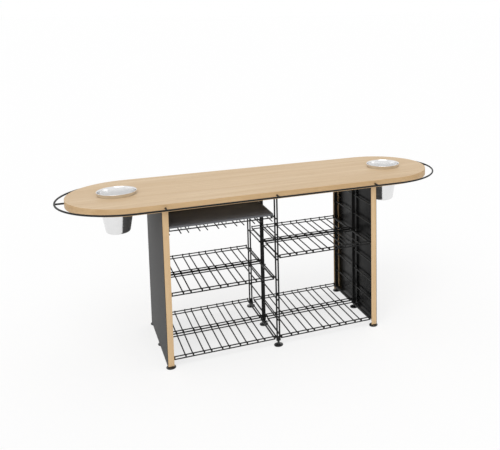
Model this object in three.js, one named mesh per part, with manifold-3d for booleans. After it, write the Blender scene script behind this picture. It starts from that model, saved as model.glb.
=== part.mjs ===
// Bar counter with wire shelves: an oak top on three welded ladder frames, two clad ends,
// a guard rail round the top, two lift-out buckets, hook-on wire shelves and a glass rack.
// Millimetres, +Z up, floor at z = 0, the origin midway between the frames and the posts.
import * as THREE from 'three';
import { mergeVertices } from 'three/addons/utils/BufferGeometryUtils.js';
import Module from 'manifold-3d';

const wasm = await Module();
wasm.setup();

// Layout
const bottlePitch = 100;
const bottlesPerRow = 6;
const postPitch = 300;
const counterHeight = 913;
const bayWidth = bottlePitch * bottlesPerRow;

// Counter top and the buckets let into it
const topWidth = 660;
const topThickness = 42;
const topChamfer = 1.5;
const bucketOffset = 208;
const bucketEndMargin = 265;
const bucketRimDiameter = 208;
const bucketBaseDiameter = 126;
const bucketHeight = 250;
const bucketRise = 20;
const bucketWall = 2;
const bucketCorner = 18;
const bucketBead = 5;
const bucketClearance = 0.3;
const bucketSides = 24;

// Guard rail
const railDiameter = 10;
const railOffset = 48;
const railJointGap = 0.2;
const studDiameter = 6;
const studDepth = 20;
const studClearance = 0.3;

// Ladder frames: posts of two rods, with rungs welded through the gap between the rods
const rodDiameter = 8.5;
const rodGap = 7;
const weldDepth = 0.5;
const rungSpaces = 7;
const shoeDepth = 13;
const shoeHeight = 24;
const topBarThickness = 5;
const topBarOverhang = 6;

// Levelling feet
const padDiameter = 52;
const padRim = 7;
const padHeight = 10;
const padEdge = 1.5;
const neckDiameter = 13;
const neckLength = 19;
const stemDiameter = 8;
const stemClearance = 0.3;
const stemSocket = 14;
const footGap = 0.3;
const footSides = 12;

// Clad ends: grooved oak strips over the outer posts, and a thin dark sheet
const stripWall = 3.5;
const stripWeb = 4;
const stripGrip = 17;
const grooveClearance = 0.5;
const sheetThickness = 2;
const panelFloorGap = 1;
const panelTopGap = 0.5;

// Wire shelves
const wireDiameter = 6;
const deckDiameter = 6;
const trussHeight = 16;
const stripGap = 1;
const innerSetback = 16;
const outerSetback = 4;
const wireWeld = 0.6;
const hookDiameter = 5;
const hookSeat = 0.3;
const hookDrop = 7;
const hookInset = 24;
const hookStagger = 10;

// Glass rack and its tray
const stemRailDrop = 21;
const stemRailSetback = 2;
const rackOverhang = 10;
const strutSize = 4;
const trayThickness = 2;
const trayFrontLip = 9;
const trayRearLip = 16;
const trayGap = 0.3;
const traySideGap = 1;

// Screws that hold the top
const screwDiameter = 5;
const screwHeadDiameter = 10;
const screwHeadHeight = 3;
const screwBite = 26;
const screwClearance = 0.3;

// Worked-out sizes
const topLength = 2 * (bayWidth + bucketOffset + bucketEndMargin);
const topRadius = topWidth / 2;
const arcCentre = topLength / 2 - topRadius;
const topBottom = counterHeight - topThickness;
const railHeight = counterHeight - topThickness / 2;
const railRadius = topRadius + railOffset;
const bucketX = bayWidth + bucketOffset;
const bucketTop = counterHeight + bucketRise;
const bucketBottom = bucketTop - bucketHeight;
const bucketSlope = (bucketRimDiameter - bucketBaseDiameter) / 2 / bucketHeight;
const rodSpacing = rodDiameter + rodGap;
const postWidth = rodSpacing + rodDiameter;
const rungDiameter = rodGap + 2 * weldDepth;
const shoeBottom = padHeight + neckLength;
const firstRung = shoeBottom + rungDiameter / 2;
const topBarMiddle = topBottom - topBarThickness / 2;
const rungPitch = (topBarMiddle - firstRung) / rungSpaces;
const grooveReach = shoeDepth / 2 + grooveClearance;
const stripFront = postPitch + grooveReach + stripWeb;
const stripWidth = postWidth + 2 * (grooveClearance + stripWall);
const panelBottom = padHeight + panelFloorGap;
const panelTop = topBottom - panelTopGap;
const wireInset = stripWidth / 2 + wireDiameter / 2 + stripGap;
const shelfDepth = postPitch - innerSetback - outerSetback;
const lowerWire = rungDiameter / 2 + hookSeat + hookDiameter / 2;
const upperWire = lowerWire + trussHeight;
const legOffset = wireDiameter / 2 + deckDiameter / 2 - wireWeld;
const deckWire = lowerWire + legOffset;
const rackDeck = upperWire + legOffset;
const stemRailWire = lowerWire - stemRailDrop;
const rackRung = rungSpaces - 1;

const oak = { color: 0xd3b48b, roughness: 0.55, metalness: 0 };
const oakEdge = { color: 0xcfae7e, roughness: 0.6, metalness: 0 };
const blackSteel = { color: 0x262626, roughness: 0.45, metalness: 0.3 };
const darkSheet = { color: 0x4c4c4b, roughness: 0.25, metalness: 0 };
const polishedSteel = { color: 0xc4c6c8, roughness: 0.12, metalness: 1 };
const zincSteel = { color: 0x8d8f92, roughness: 0.35, metalness: 1 };
const blackPlastic = { color: 0x181818, roughness: 0.3, metalness: 0 };

const counter = new THREE.Group();

function add(name, geometry, look, x = 0, y = 0, z = 0) {
  const mesh = new THREE.Mesh(geometry, new THREE.MeshStandardMaterial(look));
  mesh.name = name;
  mesh.position.set(x, y, z);
  counter.add(mesh);
}

// Booleans on closed meshes
function solid(geometry) {
  const bare = geometry.clone();
  bare.deleteAttribute('normal');
  bare.deleteAttribute('uv');
  const merged = mergeVertices(bare, 1e-4);
  const vertProperties = new Float32Array(merged.attributes.position.array);
  const triVerts = new Uint32Array(merged.index.array);
  return new wasm.Manifold(new wasm.Mesh({ numProp: 3, vertProperties, triVerts }));
}

function fromSolid(manifold) {
  const mesh = manifold.getMesh();
  const geometry = new THREE.BufferGeometry();
  geometry.setAttribute('position', new THREE.BufferAttribute(new Float32Array(mesh.vertProperties), 3));
  geometry.setIndex(new THREE.BufferAttribute(new Uint32Array(mesh.triVerts), 1));
  geometry.computeVertexNormals();
  return geometry;
}

function join(geometries, cuts = []) {
  let body = solid(geometries[0]);
  for (const geometry of geometries.slice(1)) body = body.add(solid(geometry));
  for (const cut of cuts) body = body.subtract(solid(cut));
  return fromSolid(body);
}

// A straight rod from one point to another, with its flats square to the axes and
// the given diameter measured across the flats
function rod(from, to, diameter, sides = 8) {
  const start = new THREE.Vector3(...from);
  const run = new THREE.Vector3(...to).sub(start);
  const length = run.length();
  const radius = diameter / 2 / Math.cos(Math.PI / sides);
  const geometry = new THREE.CylinderGeometry(radius, radius, length, sides);
  geometry.rotateY(Math.PI / sides);
  geometry.translate(0, length / 2, 0);
  const turn = new THREE.Quaternion().setFromUnitVectors(new THREE.Vector3(0, 1, 0), run.normalize());
  return geometry.applyQuaternion(turn).translate(...from);
}

// A wire along one axis, as a square bar that is as wide as the wire
function bar(from, to, size) {
  const low = from.map((value, i) => Math.min(value, to[i]) - (value === to[i] ? size / 2 : 0));
  const high = from.map((value, i) => Math.max(value, to[i]) + (value === to[i] ? size / 2 : 0));
  return block(low[0], high[0], low[1], high[1], low[2], high[2]);
}

function block(x0, x1, y0, y1, z0, z1) {
  const geometry = new THREE.BoxGeometry(x1 - x0, y1 - y0, z1 - z0);
  return geometry.translate((x0 + x1) / 2, (y0 + y1) / 2, (z0 + z1) / 2);
}

// A revolved profile, given as radius and height pairs, about a vertical axis
function revolve(profile, segments) {
  const points = profile.map(([radius, height]) => new THREE.Vector2(radius, height));
  return new THREE.LatheGeometry(points, segments).rotateX(Math.PI / 2);
}

// The counter top: long straight sides and half-round ends, with tapered holes for the buckets,
// blind holes in the edge for the rail's studs and in the underside for the screws
function counterTop() {
  const outline = new THREE.Shape();
  const inset = topRadius - topChamfer;
  outline.absarc(arcCentre, 0, inset, -Math.PI / 2, Math.PI / 2);
  outline.absarc(-arcCentre, 0, inset, Math.PI / 2, 1.5 * Math.PI);
  const slab = new THREE.ExtrudeGeometry(outline, {
    depth: topThickness - 2 * topChamfer,
    bevelEnabled: true,
    bevelThickness: topChamfer,
    bevelSize: topChamfer,
    bevelSegments: 1,
    curveSegments: 16,
  });
  slab.translate(0, 0, topBottom + topChamfer);
  const cuts = [];
  for (const side of [-1, 1]) {
    const past = 2;
    const radius = (z) => bucketRimDiameter / 2 - (bucketTop - z) * bucketSlope + bucketClearance;
    const above = counterHeight + past;
    const below = topBottom - past;
    const hole = revolve([[0, below], [radius(below), below], [radius(above), above], [0, above]], bucketSides);
    cuts.push(hole.translate(side * bucketX, 0, 0));
    const holeWidth = studDiameter + 2 * studClearance;
    for (const frameX of framePlaces) {
      const edge = side * (topRadius + past);
      const end = side * (topRadius - studDepth - studClearance);
      cuts.push(rod([frameX, edge, railHeight], [frameX, end, railHeight], holeWidth));
    }
    const tip = side * (topLength / 2 + past);
    const end = side * (topLength / 2 - studDepth - studClearance);
    cuts.push(rod([tip, 0, railHeight], [end, 0, railHeight], holeWidth));
  }
  for (const [x, y] of screwPlaces) {
    const from = [x, y, topBottom - 1];
    const to = [x, y, topBottom + screwBite + screwClearance];
    cuts.push(rod(from, to, screwDiameter + 2 * screwClearance));
  }
  return join([slab], cuts);
}

// A lift-out bucket: a tapered wall with a rolled rim and a rounded base corner
function bucket() {
  const taper = Math.atan(bucketSlope);
  const outer = (z) => bucketBaseDiameter / 2 + z * bucketSlope;
  const profile = [[0, 0]];
  const turns = 3;
  const cornerX = outer(bucketCorner) - bucketCorner / Math.cos(taper);
  for (let i = 0; i <= turns; i++) {
    const angle = -Math.PI / 2 + (i / turns) * (Math.PI / 2 - taper);
    profile.push([cornerX + bucketCorner * Math.cos(angle), bucketCorner + bucketCorner * Math.sin(angle)]);
  }
  const rim = outer(bucketHeight);
  profile.push([rim - bucketBead * bucketSlope, bucketHeight - bucketBead]);
  profile.push([rim + bucketBead * 0.3, bucketHeight - bucketBead * 0.7]);
  profile.push([rim + bucketBead * 0.3, bucketHeight - bucketBead * 0.2]);
  profile.push([rim - bucketWall * 0.4, bucketHeight]);
  profile.push([rim - bucketWall, bucketHeight - bucketBead * 0.3]);
  const inside = bucketCorner - bucketWall;
  for (let i = turns; i >= 0; i--) {
    const angle = -Math.PI / 2 + (i / turns) * (Math.PI / 2 - taper);
    profile.push([cornerX + inside * Math.cos(angle), bucketCorner + inside * Math.sin(angle)]);
  }
  profile.push([0, bucketWall]);
  return revolve(profile, bucketSides);
}

// A straight length of the guard rail with the three stand-offs that screw into the edge
function railBar(side) {
  const y = side * railRadius;
  const end = arcCentre - railJointGap / 2;
  const parts = [rod([-end, y, railHeight], [end, y, railHeight], railDiameter)];
  for (const x of framePlaces) {
    parts.push(rod([x, side * topRadius, railHeight], [x, y, railHeight], railDiameter));
    parts.push(rod([x, side * (topRadius - studDepth), railHeight], [x, y, railHeight], studDiameter));
  }
  return join(parts);
}

// A half-round end of the guard rail with its one stand-off
class HalfCircle extends THREE.Curve {
  constructor(side) {
    super();
    this.side = side;
  }

  getPoint(t, target = new THREE.Vector3()) {
    const spare = railJointGap / 2 / railRadius;
    const angle = -Math.PI / 2 + spare + t * (Math.PI - 2 * spare);
    const x = this.side * (arcCentre + railRadius * Math.cos(angle));
    return target.set(x, railRadius * Math.sin(angle), railHeight);
  }
}

function railBow(side) {
  const section = new THREE.Shape();
  section.absarc(0, 0, railDiameter / 2, 0, 2 * Math.PI);
  const path = new HalfCircle(side);
  const options = { steps: 24, curveSegments: 4, bevelEnabled: false, extrudePath: path };
  const bow = new THREE.ExtrudeGeometry(section, options);
  const tip = side * (arcCentre + railRadius);
  const edge = side * topLength / 2;
  const standOff = rod([edge, 0, railHeight], [tip, 0, railHeight], railDiameter);
  const stud = rod([edge - side * studDepth, 0, railHeight], [tip, 0, railHeight], studDiameter);
  return join([bow, standOff, stud]);
}

// A ladder frame: three posts, the rungs through them, a shoe under each post for the
// levelling foot, and a flat bar on top that the counter top is screwed to
function ladderFrame() {
  const parts = [];
  const cuts = [];
  const halfRun = postPitch + rodDiameter / 2;
  for (const row of [-1, 0, 1]) {
    const y = row * postPitch;
    for (const side of [-1, 1]) {
      const x = side * rodSpacing / 2;
      parts.push(rod([x, y, shoeBottom + 2], [x, y, topBarMiddle], rodDiameter));
    }
    const halfWidth = postWidth / 2;
    const halfDepth = shoeDepth / 2;
    parts.push(block(-halfWidth, halfWidth, y - halfDepth, y + halfDepth, shoeBottom, shoeBottom + shoeHeight));
    const socketTop = shoeBottom + shoeHeight - 2;
    cuts.push(rod([0, y, shoeBottom - 1], [0, y, socketTop], stemDiameter + 2 * stemClearance));
  }
  for (let i = 0; i < rungSpaces; i++) {
    const z = firstRung + i * rungPitch;
    parts.push(bar([0, -halfRun, z], [0, halfRun, z], rungDiameter));
  }
  const barEnd = postPitch + topBarOverhang;
  parts.push(block(-postWidth / 2, postWidth / 2, -barEnd, barEnd, topBottom - topBarThickness, topBottom));
  for (const y of screwRows) {
    const from = [0, y, topBottom - topBarThickness - 1];
    cuts.push(rod(from, [0, y, topBottom + 1], screwDiameter + 2 * screwClearance));
  }
  return join(parts, cuts);
}

// A levelling foot's pad, with a socket for the threaded stem
function footPad() {
  const radius = padDiameter / 2;
  const socket = stemDiameter / 2 + stemClearance;
  const neck = neckDiameter / 2;
  const top = shoeBottom - footGap;
  const profile = [
    [0, 0],
    [radius - padEdge, 0],
    [radius, padEdge],
    [radius, padRim - padEdge],
    [radius - padEdge, padRim],
    [neck + 1, padHeight - 0.3],
    [neck, padHeight + 1.5],
    [neck, top],
    [socket, top],
    [socket, top - stemSocket],
    [0, top - stemSocket],
  ];
  return revolve(profile, footSides);
}

function footStem() {
  const low = shoeBottom - footGap - stemSocket + stemClearance;
  const high = shoeBottom + shoeHeight - 3;
  const radius = stemDiameter / 2;
  return revolve([[0, low], [radius, low], [radius, high], [0, high]], footSides);
}

// A grooved oak strip that fits over an outer post, drawn for the front
function oakStrip() {
  const half = stripWidth / 2;
  const groove = postWidth / 2 + grooveClearance;
  const back = -stripFront + stripWeb + stripGrip;
  const floor = -stripFront + stripWeb;
  const outline = new THREE.Shape();
  outline.moveTo(-half, -stripFront);
  outline.lineTo(half, -stripFront);
  outline.lineTo(half, back);
  outline.lineTo(groove, back);
  outline.lineTo(groove, floor);
  outline.lineTo(-groove, floor);
  outline.lineTo(-groove, back);
  outline.lineTo(-half, back);
  const options = { depth: panelTop - panelBottom, bevelEnabled: false };
  return new THREE.ExtrudeGeometry(outline, options).translate(0, 0, panelBottom);
}

// Shelf pieces are drawn with x from one post axis to the next, y from the outer truss at 0
// to the inner truss at shelfDepth, and z from the rung that the shelf hangs on
function deckPlaces() {
  const places = [];
  for (let cell = 0; cell < bottlesPerRow; cell++) {
    places.push(cell * bottlePitch + wireInset, (cell + 1) * bottlePitch - wireInset);
  }
  return places;
}

function wire(from, to) {
  return bar(from, to, wireDiameter);
}

// The rectangle of upper and lower wires, with the hooks that drop over the rungs
function shelfRim() {
  const parts = [];
  const left = wireInset - wireDiameter / 2;
  const right = bayWidth - left;
  for (const y of [0, shelfDepth]) {
    parts.push(wire([left, y, lowerWire], [right, y, lowerWire]));
    parts.push(wire([left, y, upperWire], [right, y, upperWire]));
  }
  const ends = [
    { axis: 0, side: 1, wire: wireInset, rows: [hookInset, shelfDepth - hookInset - hookStagger] },
    { axis: bayWidth, side: -1, wire: bayWidth - wireInset,
      rows: [hookInset + hookStagger, shelfDepth - hookInset] },
  ];
  for (const end of ends) {
    parts.push(wire([end.wire, 0, lowerWire], [end.wire, shelfDepth, lowerWire]));
    const far = end.axis - end.side * (rungDiameter / 2 + hookSeat + hookDiameter / 2);
    const tip = far - end.side * hookDiameter / 2;
    for (const y of end.rows) {
      parts.push(bar([end.wire, y, lowerWire], [tip, y, lowerWire], hookDiameter));
      parts.push(bar([far, y, lowerWire], [far, y, lowerWire - hookDrop], hookDiameter));
    }
  }
  return parts;
}

// A deck wire: straight over the lower wires, with both ends bent up on to the upper wires
function deckBow(x) {
  const half = deckDiameter / 2;
  const front = -legOffset - half;
  const back = shelfDepth + legOffset + half;
  const tip = upperWire + wireDiameter / 2;
  const outline = new THREE.Shape();
  outline.moveTo(front, deckWire - half);
  outline.lineTo(back, deckWire - half);
  outline.lineTo(back, tip);
  outline.lineTo(back - deckDiameter, tip);
  outline.lineTo(back - deckDiameter, deckWire + half);
  outline.lineTo(front + deckDiameter, deckWire + half);
  outline.lineTo(front + deckDiameter, tip);
  outline.lineTo(front, tip);
  const bow = new THREE.ExtrudeGeometry(outline, { depth: deckDiameter, bevelEnabled: false });
  bow.applyMatrix4(new THREE.Matrix4().makeBasis(
    new THREE.Vector3(0, 1, 0), new THREE.Vector3(0, 0, 1), new THREE.Vector3(1, 0, 0)));
  return bow.translate(x - half, 0, 0);
}

function wireShelf() {
  return join([...shelfRim(), ...deckPlaces().map(deckBow)]);
}

// The glass rack: the same rim with upright struts, and straight deck wires on top for the tray
function glassRack() {
  const parts = shelfRim();
  const back = shelfDepth + wireDiameter / 2;
  for (const x of deckPlaces()) {
    parts.push(bar([x, -rackOverhang, rackDeck], [x, back, rackDeck], deckDiameter));
    for (const y of [0, shelfDepth]) {
      parts.push(bar([x, y, lowerWire], [x, y, upperWire], strutSize));
    }
  }
  return join(parts);
}

// A stem rail: a hairpin of wire hung below the rack from its inner truss and open to the front,
// with room above it for the feet of one row of stemmed glasses
function stemRail(cell) {
  const left = cell * bottlePitch + wireInset;
  const right = (cell + 1) * bottlePitch - wireInset;
  const z = stemRailWire;
  const half = wireDiameter / 2;
  const parts = [wire([left, shelfDepth, z], [right, shelfDepth, z])];
  for (const x of [left, right]) {
    parts.push(wire([x, stemRailSetback, z], [x, shelfDepth + half, z]));
    parts.push(wire([x, shelfDepth, z - half], [x, shelfDepth, lowerWire - half - trayGap]));
  }
  return join(parts);
}

// The tray on the rack: a folded sheet with a lip down at the front and up at the rear
function tray() {
  const floor = rackDeck + deckDiameter / 2 + trayGap;
  const top = floor + trayThickness;
  const front = -rackOverhang - trayGap;
  const back = shelfDepth + wireDiameter / 2 + trayGap;
  const outline = new THREE.Shape();
  outline.moveTo(front, top);
  outline.lineTo(front - trayThickness, top);
  outline.lineTo(front - trayThickness, floor - trayFrontLip);
  outline.lineTo(front, floor - trayFrontLip);
  outline.lineTo(front, floor);
  outline.lineTo(back, floor);
  outline.lineTo(back, top + trayRearLip);
  outline.lineTo(back - trayThickness, top + trayRearLip);
  outline.lineTo(back - trayThickness, top);
  const left = stripWidth / 2 + traySideGap;
  const sheet = new THREE.ExtrudeGeometry(outline, { depth: bayWidth - 2 * left, bevelEnabled: false });
  sheet.applyMatrix4(new THREE.Matrix4().makeBasis(
    new THREE.Vector3(0, 1, 0), new THREE.Vector3(0, 0, 1), new THREE.Vector3(1, 0, 0)));
  return sheet.translate(left, 0, 0);
}

// A pan-head screw from below, through a frame's top bar and into the counter top
function topScrew() {
  const seat = topBottom - topBarThickness;
  const head = screwHeadDiameter / 2;
  const shank = screwDiameter / 2;
  const profile = [
    [0, seat - screwHeadHeight],
    [head * 0.7, seat - screwHeadHeight],
    [head, seat - screwHeadHeight * 0.4],
    [head, seat],
    [shank, seat],
    [shank, topBottom + screwBite - 2 * shank],
    [0, topBottom + screwBite],
  ];
  return revolve(profile, 8);
}

const frames = { left: -bayWidth, centre: 0, right: bayWidth };
const rows = { front: -postPitch, middle: 0, rear: postPitch };
const screwRows = [-postPitch / 2, postPitch / 2];
const framePlaces = Object.values(frames);
const screwPlaces = framePlaces.flatMap((x) => screwRows.map((y) => [x, y]));

add('counter_top', counterTop(), oak);

const bucketShape = bucket();
add('bucket_left', bucketShape, polishedSteel, -bucketX, 0, bucketBottom);
add('bucket_right', bucketShape, polishedSteel, bucketX, 0, bucketBottom);

add('rail_front', railBar(-1), blackSteel);
add('rail_rear', railBar(1), blackSteel);
add('rail_left', railBow(-1), blackSteel);
add('rail_right', railBow(1), blackSteel);

const frameShape = ladderFrame();
const padShape = footPad();
const stemShape = footStem();
const screwShape = topScrew();
for (const [frame, x] of Object.entries(frames)) {
  add(`frame_${frame}`, frameShape, blackSteel, x);
  for (const [row, y] of Object.entries(rows)) {
    add(`foot_pad_${frame}_${row}`, padShape, blackPlastic, x, y);
    add(`foot_stem_${frame}_${row}`, stemShape, zincSteel, x, y);
  }
  add(`top_screw_${frame}_front`, screwShape, zincSteel, x, screwRows[0]);
  add(`top_screw_${frame}_rear`, screwShape, zincSteel, x, screwRows[1]);
}

const frontStrip = oakStrip();
const rearStrip = frontStrip.clone().rotateZ(Math.PI);
const sheetOuter = stripWidth / 2 + sheetThickness;
for (const [end, side] of [['left', -1], ['right', 1]]) {
  add(`oak_strip_${end}_front`, frontStrip, oakEdge, side * bayWidth);
  add(`oak_strip_${end}_rear`, rearStrip, oakEdge, side * bayWidth);
  const near = side * (bayWidth + stripWidth / 2);
  const far = side * (bayWidth + sheetOuter);
  const sheet = block(Math.min(near, far), Math.max(near, far), -stripFront, stripFront, panelBottom, panelTop);
  add(`side_sheet_${end}`, sheet, darkSheet);
}

// Shelves: one at the front and one at the rear of each level, the rear one turned half round
const shelfShape = wireShelf();
const rearShelfShape = shelfShape.clone().rotateZ(Math.PI);
const rungHeight = (rung) => firstRung + rung * rungPitch;
const frontEdge = -postPitch + outerSetback;
const levels = [
  { name: 'left_lower', x: -bayWidth, rung: 0 },
  { name: 'left_upper', x: -bayWidth, rung: 3 },
  { name: 'right_lower', x: 0, rung: 0 },
  { name: 'right_upper', x: 0, rung: 4 },
];
for (const level of levels) {
  const z = rungHeight(level.rung);
  add(`shelf_${level.name}_front`, shelfShape, blackSteel, level.x, frontEdge, z);
  add(`shelf_${level.name}_rear`, rearShelfShape, blackSteel, level.x + bayWidth, -frontEdge, z);
}

const rackZ = rungHeight(rackRung);
add('glass_rack', glassRack(), blackSteel, -bayWidth, frontEdge, rackZ);
add('tray', tray(), { color: 0x323130, roughness: 0.4, metalness: 0.2 }, -bayWidth, frontEdge, rackZ);
for (let cell = 0; cell < bottlesPerRow; cell++) {
  add(`stem_rail_${cell + 1}`, stemRail(cell), blackSteel, -bayWidth, frontEdge, rackZ);
}

export default counter;
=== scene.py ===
import math

import bpy
import numpy as np
from mathutils import Matrix, Vector
from mathutils.geometry import tessellate_polygon


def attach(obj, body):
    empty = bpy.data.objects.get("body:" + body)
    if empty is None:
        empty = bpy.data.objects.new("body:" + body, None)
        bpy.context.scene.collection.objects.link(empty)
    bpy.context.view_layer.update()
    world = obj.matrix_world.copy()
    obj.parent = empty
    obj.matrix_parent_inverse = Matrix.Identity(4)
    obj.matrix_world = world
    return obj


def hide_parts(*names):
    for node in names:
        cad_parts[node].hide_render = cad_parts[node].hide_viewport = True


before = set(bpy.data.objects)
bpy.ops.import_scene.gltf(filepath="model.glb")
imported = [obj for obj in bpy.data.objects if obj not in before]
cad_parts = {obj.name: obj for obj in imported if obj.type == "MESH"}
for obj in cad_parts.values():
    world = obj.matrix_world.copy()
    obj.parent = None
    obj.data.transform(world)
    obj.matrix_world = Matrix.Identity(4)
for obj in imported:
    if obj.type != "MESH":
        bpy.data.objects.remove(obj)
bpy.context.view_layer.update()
print("frame loaded:", len(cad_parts), "solids")

mm = 0.001
counter = {"bay": 600, "posts": 300, "height": 913, "cell": 100, "cells": 6}
bodyRoot = "counter"

# camera of the photograph: it looks slightly down, and the middle of its view lies off the picture's middle
camera = {"place": (-1.1280, -4.0580, 1.9150), "azimuth": -25.4863, "elevation": 7.3708, "roll": -0.0992,
          "focal": 711.16, "centre": (382.31, 101.26), "picture": (500, 450), "sensor": 36.0,
          "reach": 600.0}


def toLinear(red, green, blue):
    # picture values from 0 to 255 to the linear colour that a shader takes
    value = np.array([red, green, blue]) / 255
    value = np.where(value <= 0.04045, value / 12.92, ((value + 0.055) / 1.055) ** 2.4)
    return (*value.tolist(), 1.0)


# shader tools

def addNode(tree, kind, **values):
    node = tree.nodes.new(kind)
    for key, value in values.items():
        setattr(node, key, value)
    return node


def stretched(tree, source, scale, turn=(0, 0, 0)):
    # the same coordinates, squeezed or drawn out along each axis
    mapping = addNode(tree, "ShaderNodeMapping")
    mapping.inputs["Scale"].default_value = scale
    mapping.inputs["Rotation"].default_value = turn
    tree.links.new(source, mapping.inputs["Vector"])
    return mapping.outputs["Vector"]


def noiseOf(tree, source, scale, detail=2.0, rough=0.5, warp=0.0):
    noise = addNode(tree, "ShaderNodeTexNoise")
    noise.inputs["Scale"].default_value = scale
    noise.inputs["Detail"].default_value = detail
    noise.inputs["Roughness"].default_value = rough
    noise.inputs["Distortion"].default_value = warp
    tree.links.new(source, noise.inputs["Vector"])
    return noise.outputs["Fac"]


def ranged(tree, source, low, high, toLow, toHigh):
    span = addNode(tree, "ShaderNodeMapRange")
    for key, value in (("From Min", low), ("From Max", high), ("To Min", toLow), ("To Max", toHigh)):
        span.inputs[key].default_value = value
    tree.links.new(source, span.inputs["Value"])
    return span.outputs["Result"]


def mixed(tree, factor, first, second, blend="MIX"):
    mix = addNode(tree, "ShaderNodeMix", data_type="RGBA", blend_type=blend)
    for socket, value in ((mix.inputs[0], factor), (mix.inputs[6], first), (mix.inputs[7], second)):
        if isinstance(value, bpy.types.NodeSocket):
            tree.links.new(value, socket)
        else:
            socket.default_value = value
    return mix.outputs[2]


def maths(tree, operation, first, second=0.0):
    node = addNode(tree, "ShaderNodeMath", operation=operation)
    for socket, value in zip(node.inputs, (first, second)):
        if isinstance(value, bpy.types.NodeSocket):
            tree.links.new(value, socket)
        else:
            socket.default_value = value
    return node.outputs["Value"]


def newGroup(name, inputs, outputs):
    group = bpy.data.node_groups.new(name, "ShaderNodeTree")
    for label, kind in inputs:
        group.interface.new_socket(name=label, in_out="INPUT", socket_type="NodeSocket" + kind)
    for label, kind in outputs:
        group.interface.new_socket(name=label, in_out="OUTPUT", socket_type="NodeSocket" + kind)
    return group, addNode(group, "NodeGroupInput"), addNode(group, "NodeGroupOutput")


# how many times finer each pattern in the oak is along and across the grain
oakGrain = {"broad": (0.9, 11, 11), "lines": (1.6, 62, 62), "fibre": (7, 420, 420), "pores": (24, 900, 900)}


def oakFigureGroup():
    # oak with its grain along the first axis: broad tone, growth lines, fibres and short dark pores
    inputs = [("Vector", "Vector"), ("Pale", "Color"), ("Warm", "Color"), ("Pore", "Color")]
    outputs = [("Color", "Color"), ("Roughness", "Float"), ("Height", "Float")]
    tree, taken, given = newGroup("oakFigure", inputs, outputs)
    where = taken.outputs["Vector"]
    broad = noiseOf(tree, stretched(tree, where, oakGrain["broad"]), 1.0, 3.0, 0.55, 0.3)
    lines = noiseOf(tree, stretched(tree, where, oakGrain["lines"]), 1.0, 4.0, 0.6, 0.35)
    fibre = noiseOf(tree, stretched(tree, where, oakGrain["fibre"]), 1.0, 2.0, 0.6)
    pores = noiseOf(tree, stretched(tree, where, oakGrain["pores"]), 1.0, 1.0, 0.4)
    tone = ranged(tree, broad, 0.3, 0.7, 0.0, 1.0)
    colour = mixed(tree, tone, taken.outputs["Pale"], taken.outputs["Warm"])
    streak = ranged(tree, lines, 0.42, 0.66, 0.0, 0.55)
    colour = mixed(tree, streak, colour, taken.outputs["Warm"])
    thread = ranged(tree, fibre, 0.35, 0.7, 0.0, 0.28)
    colour = mixed(tree, thread, colour, taken.outputs["Pore"])
    dash = ranged(tree, pores, 0.6, 0.72, 0.0, 0.5)
    colour = mixed(tree, dash, colour, taken.outputs["Pore"])
    tree.links.new(colour, given.inputs["Color"])
    tree.links.new(ranged(tree, lines, 0.3, 0.7, 0.46, 0.6), given.inputs["Roughness"])
    depth = maths(tree, "SUBTRACT", maths(tree, "MULTIPLY", fibre, 0.4), dash)
    tree.links.new(depth, given.inputs["Height"])
    return tree


coatGrain = {"slow": 9.0, "peel": 1400.0, "speck": 420.0}  # sizes of the patterns in a sprayed coat


def coatGroup():
    # sprayed finish: tiny orange-peel bumps, and a slow change of gloss and tone
    inputs = [("Vector", "Vector"), ("Tone", "Color"), ("Worn", "Color"), ("Gloss", "Float"),
              ("Grain", "Float")]
    outputs = [("Color", "Color"), ("Roughness", "Float"), ("Height", "Float")]
    tree, taken, given = newGroup("sprayedCoat", inputs, outputs)
    where = taken.outputs["Vector"]
    slow = noiseOf(tree, where, coatGrain["slow"], 3.0)
    peel = noiseOf(tree, where, coatGrain["peel"], 2.0)
    speck = noiseOf(tree, where, coatGrain["speck"], 1.0)
    worn = taken.outputs["Worn"]
    colour = mixed(tree, ranged(tree, slow, 0.3, 0.75, 0.0, 0.35), taken.outputs["Tone"], worn)
    colour = mixed(tree, ranged(tree, speck, 0.55, 0.75, 0.0, 0.25), colour, worn)
    tree.links.new(colour, given.inputs["Color"])
    change = ranged(tree, slow, 0.25, 0.75, -0.06, 0.06)
    tree.links.new(maths(tree, "ADD", taken.outputs["Gloss"], change), given.inputs["Roughness"])
    tree.links.new(maths(tree, "MULTIPLY", peel, taken.outputs["Grain"]), given.inputs["Height"])
    return tree


metalGrain = {"marks": (40, 40, 900), "smear": 14.0}  # sizes of the patterns in bare metal


def rubbedMetalGroup():
    # bare metal: fine rubbing marks round the upright axis, faint smears
    inputs = [("Vector", "Vector"), ("Tone", "Color"), ("Dull", "Color"), ("Gloss", "Float")]
    outputs = [("Color", "Color"), ("Roughness", "Float"), ("Height", "Float")]
    tree, taken, given = newGroup("rubbedMetal", inputs, outputs)
    where = taken.outputs["Vector"]
    marks = noiseOf(tree, stretched(tree, where, metalGrain["marks"]), 1.0, 3.0, 0.6)
    smear = noiseOf(tree, where, metalGrain["smear"], 4.0, 0.6)
    smeared = ranged(tree, smear, 0.35, 0.75, 0.0, 0.5)
    colour = mixed(tree, smeared, taken.outputs["Tone"], taken.outputs["Dull"])
    tree.links.new(colour, given.inputs["Color"])
    change = maths(tree, "ADD", ranged(tree, smear, 0.3, 0.75, -0.03, 0.05),
                   ranged(tree, marks, 0.3, 0.7, -0.02, 0.03))
    tree.links.new(maths(tree, "ADD", taken.outputs["Gloss"], change), given.inputs["Roughness"])
    tree.links.new(marks, given.inputs["Height"])
    return tree


oakFigure = oakFigureGroup()
sprayedCoat = coatGroup()
rubbedMetal = rubbedMetalGroup()


def startMaterial(name):
    material = bpy.data.materials.new(name)
    material.use_nodes = True
    tree = material.node_tree
    return material, tree, tree.nodes["Principled BSDF"]


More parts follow.
